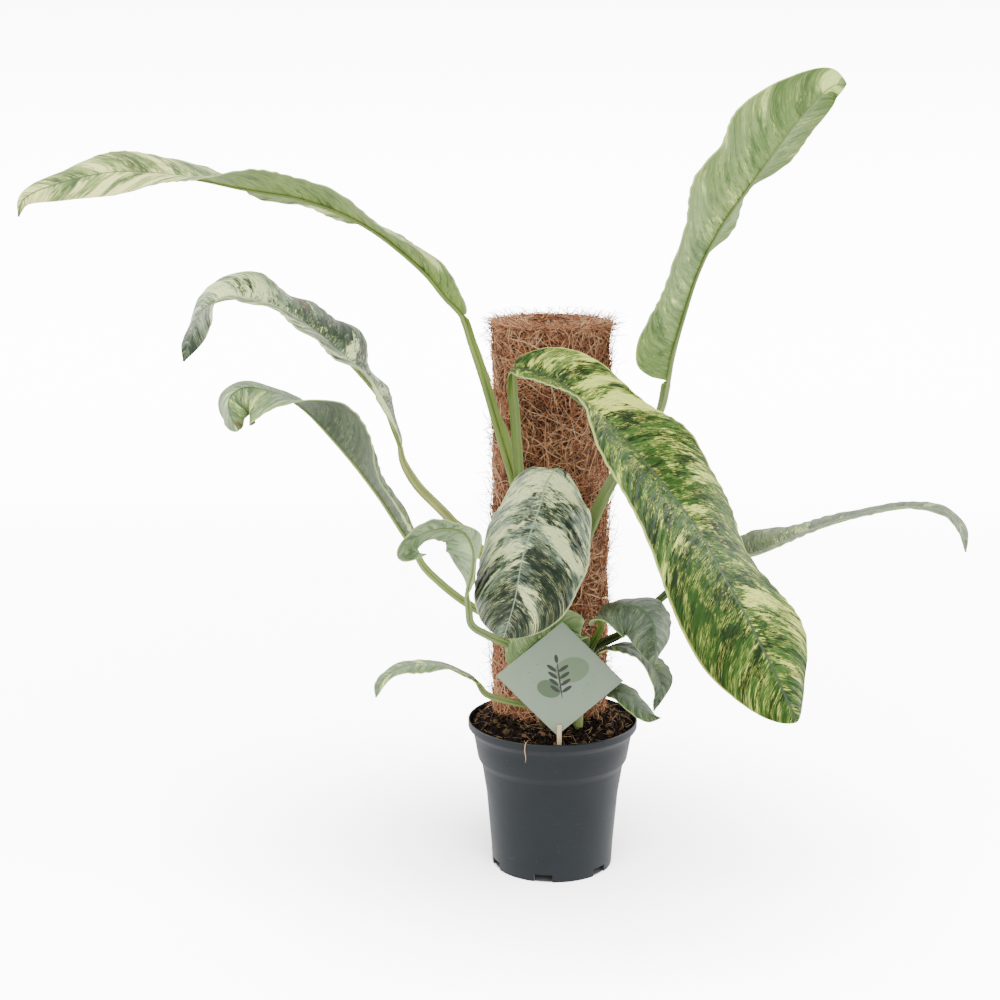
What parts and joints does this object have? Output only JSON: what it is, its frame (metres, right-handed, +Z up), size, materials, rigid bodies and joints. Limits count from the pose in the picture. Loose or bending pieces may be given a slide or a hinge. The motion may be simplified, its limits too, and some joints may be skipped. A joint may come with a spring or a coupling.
{
  "type": "potted scindapsus",
  "caption": "Climbing aroid house plant with long variegated leaves on a coir pole, in a plastic nursery pot with a square card on a stick.",
  "frame": {"origin": "centre of the pot's foot, on the surface it stands on", "axes": "+X to the viewer's right, +Y away from the viewer, +Z up along the pot's axis"},
  "size_m": [0.7976, 0.3212, 0.6965],
  "materials": {
    "pot": "dark blue-grey moulded plastic, satin, lightly scuffed and dusty",
    "soil": "dark moist peat mix with bark chips and fibres",
    "coir": "matted reddish-brown coconut fibre",
    "pole_fill": "dark peat core",
    "stem": "smooth green stem, satin",
    "leaf": "smooth leaf marbled in greens and cream, satin above, paler and duller below",
    "card": "printed sage-green card, matt",
    "stick": "pale raw wood"
  },
  "bodies": {
    "root": {"pot": "pot", "soil": "soil", "coir_mat": "coir", "pole_fill": "pole_fill", "stem_main": "stem", "stem_side": "stem", "leaf_upper_left": "leaf", "leaf_mid_left": "leaf", "leaf_lower_left": "leaf", "leaf_curled": "leaf", "leaf_front": "leaf", "leaf_big_right": "leaf", "leaf_upper_right": "leaf", "leaf_small_left": "leaf", "leaf_sheath": "leaf", "leaf_far_right": "leaf", "leaf_small_right_top": "leaf", "leaf_small_right_middle": "leaf", "leaf_small_right_bottom": "leaf", "label_card": "card", "label_stick": "stick"}
  },
  "joints": []
}
